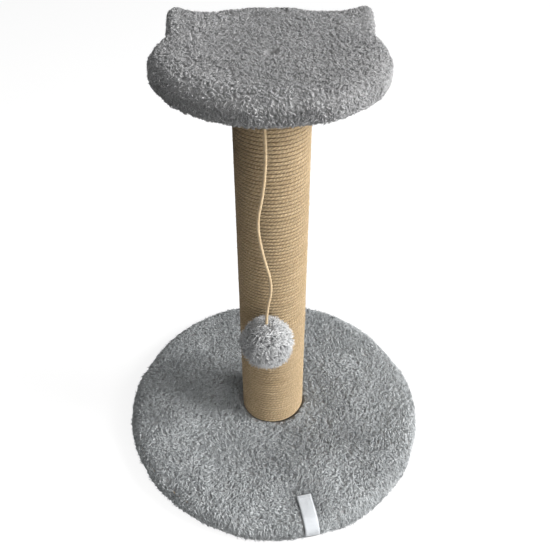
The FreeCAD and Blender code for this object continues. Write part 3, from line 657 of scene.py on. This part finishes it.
def tube_along(points, radius, closed=False):
    """A round tube through points that are already close together."""
    curve = bpy.data.curves.new("strand", "CURVE")
    curve.dimensions = "3D"
    curve.bevel_depth = radius
    curve.bevel_resolution = 1
    curve.use_fill_caps = not closed
    spline = curve.splines.new("POLY")
    spline.points.add(len(points) - 1)
    for made, point in zip(spline.points, points):
        made.co = (*point, 1)
    spline.use_cyclic_u = closed
    holder = bpy.data.objects.new("strand", curve)
    tube = bpy.data.meshes.new_from_object(holder)
    bpy.data.curves.remove(curve)
    return tube


def twisted(line, name):
    """Three strands laid round a line."""
    bm = bmesh.new()
    side, far = Vector((0, 1, 0)), 0
    strands = [[], [], []]
    for i, point in enumerate(line):
        before, after = line[max(i - 1, 0)], line[min(i + 1, len(line) - 1)]
        way = (after - before).normalized()
        far += (point - before).length
        side = (side - way * side.dot(way)).normalized()
        for k, strand in enumerate(strands):
            angle = TURN * (far / STRAND_LAY + k / 3)
            offset = side * math.cos(angle) + way.cross(side) * math.sin(angle)
            strand.append(point + offset * STRAND_REACH)
    for strand in strands:
        tube = tube_along(strand, STRAND_RADIUS)
        bm.from_mesh(tube)
        bpy.data.meshes.remove(tube)
    smooth_faces(bm)
    return mesh_of(bm, name)


def knot_mesh(centre, across, name):
    """A small knot: the cord's own thickness, drawn into a trefoil."""
    points = []
    for i in range(KNOT_POINTS):
        t = TURN * i / KNOT_POINTS
        x, y = math.sin(t) + 2 * math.sin(2 * t), math.cos(t) - 2 * math.cos(2 * t)
        place = Vector((x, y, -1.4 * math.sin(3 * t)))
        points.append(centre + place * ((across / 2 - KNOT_STRAND) / 3))
    bm = bmesh.new()
    tube = tube_along(points, KNOT_STRAND, True)
    bm.from_mesh(tube)
    bpy.data.meshes.remove(tube)
    smooth_faces(bm)
    return mesh_of(bm, name)


def hang_toy_cord(finish):
    route = [KNOT + Vector((right, 0, -down)) for right, down in CORD_ROUTE]
    line = nurbs_line(route, 44)
    string = new_piece("toy_string", twisted(line, "toy_string"), [finish], "line")
    low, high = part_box("toy_knot")
    knot = knot_mesh((low + high) / 2, 0.0078, "string_end_knot")
    end = new_piece("string_end_knot", knot, [finish], "line")
    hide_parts("toy_cord")
    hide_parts("toy_knot")


def tie_loop(finish):
    """The cord's end, round the staple's crown and into its knot."""
    crown = KNOT + Vector((0, 0, 0.01))
    loop = [KNOT + Vector((0, -0.0008, 0.001))]
    for degrees in (-30, 20, 65, 90, 115, 160, 210):
        angle = math.radians(degrees)
        out = Vector((0, -math.cos(angle), math.sin(angle)))
        loop.append(crown + out * LOOP_REACH * LOOP_SLACK)
    loop.append(KNOT + Vector((0, 0.0008, 0.001)))
    mesh = twisted(nurbs_line(loop, 8), "string_loop")
    bm = bmesh.new()
    bm.from_mesh(mesh)
    knot = knot_mesh(KNOT, 0.0073, "loop_knot")
    bm.from_mesh(knot)
    for spare in (mesh, knot):
        bpy.data.meshes.remove(spare)
    piece = new_piece("string_loop", mesh_of(bm, "string_loop"), [finish], "hanger")
    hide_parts("cord_loop")


# How far an edge bulges or falls back, by degrees round from +X
BASE_EDGE = (
    (68, 0.003),
    (90, 0.0025),
    (118, 0.0045),
    (180, -0.0015),
    (225, -0.0035),
    (300, 0.0025),
    (345, 0.0015),
)
DECK_EDGE = ((52, 0.0025), (95, 0.002), (128, 0.0015), (185, 0.0028))
# Degrees over which such a bulge dies away
BULGE_SPREAD = 28


def bulge(point, middle, edge, inner, outer):
    """Plush is stretched unevenly, so its edge swells or falls back by a few millimetres."""
    out = Vector((point.x, point.y - middle, 0))
    round_edge = math.atan2(out.y, out.x)
    grow = noise.noise(Vector((math.cos(round_edge) * 4, math.sin(round_edge) * 4, 5))) * 0.0012
    for degrees, much in edge:
        off = math.degrees(near(round_edge, math.radians(degrees))) - degrees
        grow += much * math.exp(-((off / BULGE_SPREAD) ** 2))
    share = clamp((out.length - inner) / (outer - inner))
    return out.normalized() * (grow * share)


def base_sway(point):
    """The base's plush rolls over softly towards its edge."""
    rim = clamp((point.xy.length - 0.16) / 0.034)
    above = clamp((point.z - 0.012) / 0.019)
    drop = Vector((0, 0, 0.005 * rim * rim * above))
    return point - drop + bulge(point, 0, BASE_EDGE, 0.07, 0.17)


# Sewn ribbon on the base's front rim
RIBBON_MAP = "Ribbon"
RIBBON_TURN = math.radians(12.7)
RIBBON_WIDTH, RIBBON_BEND, RIBBON_THICKNESS = 0.017, 0.0146, 0.0006
# How far in from the edge the ribbon starts and bends, and its end above the floor
RIBBON_START, RIM_ROUND, RIBBON_FOOT = 0.040, 0.014, 0.012
WARP_THREADS, WEFT_THREADS = 44, 150
STITCH_ROWS, STITCHES, STITCH_STEP = (0.0025, 0.0036), 6, 0.0026
STITCH_SHAPE = (0.0011, 0.00022, 0.00028, 1)


def sew_ribbon(finish):
    base_radius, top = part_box("base_cover")[1].x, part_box("base_cover")[1].z
    start, rim = base_radius - RIBBON_START, base_radius - RIM_ROUND
    bend, flat, fall = RIBBON_BEND, rim - start, top - RIM_ROUND - RIBBON_FOOT
    long = flat + bend * math.pi / 2 + fall
    bm = bmesh.new()
    uv = bm.loops.layers.uv.new(RIBBON_MAP)
    bmesh.ops.create_grid(bm, x_segments=8, y_segments=48, size=0.5)
    for face in bm.faces:
        face.smooth = True
        for loop in face.loops:
            loop[uv].uv = (loop.vert.co.x + 0.5, loop.vert.co.y + 0.5)
    for v in bm.verts:
        across, far = v.co.x * RIBBON_WIDTH, (v.co.y + 0.5) * long
        turn = min(math.pi / 2, max(0, (far - flat) / bend))
        down = max(0, far - flat - bend * math.pi / 2)
        out = min(far, flat) + start + math.sin(turn) * bend
        wave = noise.noise(Vector((across * 60, far * 45, 3))) * 0.0007
        height = top + 0.0006 - bend * (1 - math.cos(turn)) - down
        v.co = Vector((across, -out - wave * math.sin(turn), height + wave * math.cos(turn)))
    bmesh.ops.recalc_face_normals(bm, faces=bm.faces)
    spin = Matrix.Rotation(RIBBON_TURN, 3, "Z")
    bmesh.ops.rotate(bm, verts=bm.verts, cent=(0, 0, 0), matrix=spin)
    for v in bm.verts:
        v.co = base_sway(v.co)
    ribbon = new_piece("base_ribbon", mesh_of(bm, "base_ribbon"), [finish], "stand")
    give_thickness(ribbon, RIBBON_THICKNESS)
    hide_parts("base_tag")
    bm = bmesh.new()
    for row in STITCH_ROWS:
        for k in range(STITCHES):
            side = (k - (STITCHES - 1) / 2) * STITCH_STEP
            spot = Matrix.Translation((side, -start - row, top + 0.0012))
            place = spot @ Matrix.Diagonal(STITCH_SHAPE)
            bmesh.ops.create_uvsphere(bm, u_segments=8, v_segments=6, radius=1, matrix=place)
    bmesh.ops.rotate(bm, verts=bm.verts, cent=(0, 0, 0), matrix=spin)
    for v in bm.verts:
        v.co = base_sway(v.co)
    sewn = mesh_of(bm, "ribbon_stitches")
    stitches = new_piece("ribbon_stitches", sewn, [thread_finish()], "stand")


# Sheets behind the hems
SHEET_SIDES, SHEET_RINGS, SHEET_THICKNESS = 96, 12, 0.0007


def backing_sheet(name, node, hole):
    """A round sheet with a hole in its middle, drawn out ring by ring and a little rippled."""
    low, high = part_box(node)
    centre, radius = (low + high) / 2, (high.x - low.x) / 2
    bm = bmesh.new()
    ring = bmesh.ops.create_circle(bm, segments=SHEET_SIDES, radius=hole)["verts"]
    for step in range(1, SHEET_RINGS + 1):
        grown = bmesh.ops.extrude_edge_only(bm, edges=ring_edges(ring))["geom"]
        ring = [v for v in grown if isinstance(v, bmesh.types.BMVert)]
        want = hole + (radius - hole) * step / SHEET_RINGS
        bmesh.ops.scale(bm, vec=(want / ring[0].co.xy.length,) * 2 + (1,), verts=ring)
    for v in bm.verts:
        ripple = noise.noise(Vector((v.co.x * 40, v.co.y * 40, 1))) * 0.00015
        v.co += Vector((centre.x, centre.y, centre.z + ripple))
    bmesh.ops.recalc_face_normals(bm, faces=bm.faces)
    sheet = new_piece(name, mesh_of(bm, name), [FELT], "stand")
    give_thickness(sheet, SHEET_THICKNESS)
    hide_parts(node)


def stuff_toy(finish):
    """The pom-pom's ball of loose fibre."""
    low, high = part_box("toy_filling")
    centre, radius = (low + high) / 2, (high.x - low.x) / 2
    bm = bmesh.new()
    bmesh.ops.create_icosphere(bm, subdivisions=4, radius=radius * 0.97)
    for v in bm.verts:
        v.co *= 1 + 0.03 * noise.noise(v.co * 260)
        v.co += centre
    for v in bm.verts:
        v.co.z = min(v.co.z, high.z - 0.001)
    smooth_faces(bm)
    wad = new_piece("toy_wadding", mesh_of(bm, "toy_wadding"), [finish], "toy")
    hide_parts("toy_filling")


def wadding_finish():
    wad = Finish("white_wadding", {"Roughness": 0.95, "Sheen Weight": 0.3})
    fibre = wad.grain(wad.place(), 700, 4)
    wad.feed(Base_Color=wad.mix(fibre, srgb(205, 206, 206), srgb(240, 240, 240)))
    wad.feed(Normal=wad.bump(fibre, 0.6, 0.0006))
    return wad.material


# Stage
BLACK, WHITE = (0, 0, 0, 1), (1, 1, 1, 1)
FLOOR_COLOUR, FLOOR_SEEN = (0.25, 0.25, 0.25, 1), (0.84, 0.84, 0.84, 1)
FILL_LIGHT = (0.09, 0.09, 0.09, 1)


def set_stage():
    """A pale floor and an even light all round, both seen by the camera as near white."""
    bm = bmesh.new()
    bmesh.ops.create_grid(bm, x_segments=1, y_segments=1, size=6)
    floor = bpy.data.objects.new("floor", mesh_of(bm, "floor"))
    scene.collection.objects.link(floor)
    look = {
        "Base Color": FLOOR_COLOUR,
        "Roughness": 0.9,
        "Specular IOR Level": 0.0,
        "Emission Strength": 1.0,
    }
    finish = Finish("white_floor", look)
    finish.feed(Emission_Color=finish.mix(seen_directly(finish), BLACK, FLOOR_SEEN))
    floor.data.materials.append(finish.material)

    sky = Backdrop("studio", {"Strength": 1.0})
    sky.feed(Color=sky.mix(seen_directly(sky), FILL_LIGHT, WHITE))
    scene.world = sky.material


def add_lamp(name, place, aim, size, power):
    data = bpy.data.lights.new(name, "AREA")
    data.shape = "DISK"
    data.size = size
    data.energy = power
    lamp = bpy.data.objects.new(name, data)
    scene.collection.objects.link(lamp)
    way = Vector(aim) - Vector(place)
    turn = way.to_track_quat("-Z", "Y").to_matrix().to_4x4()
    lamp.matrix_world = Matrix.Translation(place) @ turn


set_camera()
CORD = cord_finish()
hang_toy_cord(CORD)
tie_loop(CORD)

FELT = felt_finish()
soft_ground = ground_finish("pile_ground", 136, 172)
# Painted shade: the platform's knit is a darker copy of the base's knit.
deck_ground_painted_shade = ground_finish("platform_ground_painted_shade", 130, 154)
base_pile = pile_finish("base_pile", (130, 166, 175, 226), 4, 0.5)
# Painted shade: the platform's pile is a darker copy of the base's, and painted light makes its
# roots a touch paler than its tips.
deck_pile_painted_shade = pile_finish("platform_pile_painted_shade", (110, 106, 140, 136), 0, 0.9)
toy_pile = pile_finish("toy_pile", (162, 182, 186, 204), 1, 0.7)
base_tufts = make_tufts(reach=0.0076, width=0.0009, lean=(70, 120), bends=2, blades=4, hairs=1)
deck_tufts = make_tufts(reach=0.0042, width=0.0009, lean=(60, 110), bends=2, blades=3, hairs=6)
toy_tufts = make_tufts(reach=0.0095, width=0.0010, lean=(15, 75), bends=2, blades=3, hairs=6)


# No pile grows under the post, under the ribbon, in the bolt's dimple or inside the platform's hem
POST_FOOT, RIBBON_END, BOLT_DIMPLE = 0.0424, 0.152, 0.0075
HEM_LEVEL, HEM_MOUTH = 0.4935, 0.086
DECK_MIDDLE = 0.0035


def base_bare(point):
    beside = Matrix.Rotation(-RIBBON_TURN, 3, "Z") @ point
    under_ribbon = abs(beside.x) < RIBBON_WIDTH / 2 and beside.y < -RIBBON_END
    return point.xy.length < POST_FOOT or point.z < FOOT_LEVEL or under_ribbon


def base_comb(point):
    """Round the post the pile is pressed outwards."""
    share = max(0, 1 - (point.xy.length - POST_ROOM) / 0.010)
    return Vector((point.x, point.y, 0)).normalized() * share


def deck_bare(point):
    out = Vector((point.x, point.y - DECK_MIDDLE))
    inside_hem = point.z < HEM_LEVEL and out.length < HEM_MOUTH
    return inside_hem or point.xy.length < BOLT_DIMPLE


def deck_comb(point):
    """Round the bolt's dimple the pile leans away."""
    share = max(0, 1 - (point.xy.length - BOLT_DIMPLE) / 0.008)
    return Vector((point.x, point.y, 0)).normalized() * share


def deck_sway(point):
    """The platform's plush rolls over softly towards its front edge."""
    rim = clamp((Vector((point.x, point.y - DECK_MIDDLE)).length - 0.09) / 0.024)
    above = clamp((point.z - 0.5) / 0.0165)
    front = clamp((0.05 - point.y) / 0.06)
    drop = Vector((0, 0, 0.006 * rim * rim * above * front))
    return point - drop + bulge(point, DECK_MIDDLE, DECK_EDGE, 0.05, 0.1)


def as_is(point):
    return point


def uncombed(point):
    return Vector()


def base_painted_light(point):
    """Painted light: the pile is a little paler on the rim and to the right; painted shade makes
    it duller in front.
    """
    rim = 0.15 * clamp((point.xy.length - 0.165) / 0.025)
    return rim + 1.2 * max(0, point.x) + 0.5 * min(0, point.y)


def deck_painted_light(point):
    """Painted light: the pile pales towards the edge, most of all on the left and in front;
    painted shade darkens its middle and its right.
    """
    out = Vector((point.x, point.y - DECK_MIDDLE))
    edge = min(1, out.length / 0.11)
    return 0.5 * edge**3 - 0.25 - 3.2 * out.x - 2.2 * min(0, out.y)


def nothing(point):
    return 0


plush_cover(
    "base_plush",
    "base_cover",
    "base_board",
    "stand",
    tufts=base_tufts,
    finishes=[soft_ground, base_pile],
    sink=0.0036,
    density=138000,
    bare=base_bare,
    sway=base_sway,
    comb=base_comb,
    mess=0.16,
    patchy=1,
    painted_light=base_painted_light,
)
plush_cover(
    "platform_plush",
    "platform_cover",
    "platform_board",
    "stand",
    tufts=deck_tufts,
    finishes=[deck_ground_painted_shade, deck_pile_painted_shade],
    sink=0.0021,
    density=195000,
    bare=deck_bare,
    sway=deck_sway,
    comb=deck_comb,
    mess=1,
    patchy=0.35,
    painted_light=deck_painted_light,
)
plush_cover(
    "toy_pompom",
    "toy_skin",
    "toy_filling",
    "toy",
    tufts=toy_tufts,
    finishes=[soft_ground, toy_pile],
    sink=0.0068,
    density=130000,
    bare=nothing,
    sway=as_is,
    comb=uncombed,
    mess=0.7,
    patchy=1,
    painted_light=nothing,
)
wind_rope()
fray_rope()
sew_ribbon(ribbon_finish())
backing_sheet("base_backing_sheet", "base_backing", 0.013)
backing_sheet("platform_backing_sheet", "platform_backing", 0.0043)
stuff_toy(wadding_finish())

METAL = ["cord_staple"]
for end in ("base", "platform"):
    METAL += [f"{end}_staples", f"{end}_bolt", f"{end}_washer"]
for end in ("bottom", "top"):
    METAL += [f"{end}_tee_nut", f"{end}_plug_nails"]
for finish, names in (
    (chipboard_finish(), ("base_board", "platform_board")),
    (softwood_finish(), ("bottom_plug", "top_plug")),
    (cardboard_finish(), ("post_tube",)),
    (zinc_finish(), METAL),
):
    for name in names:
        nodes[name].data.materials.clear()
        nodes[name].data.materials.append(finish)

set_stage()
add_lamp("key", (3.0, -0.65, 2.0), (0, 0, 0.25), 1.9, 168)
add_lamp("top", (-0.7, -0.8, 3.4), (0, 0, 0.2), 3.2, 32)
add_lamp("front", (0.9, -1.6, 0.85), (0, 0, 0.2), 1.2, 19)
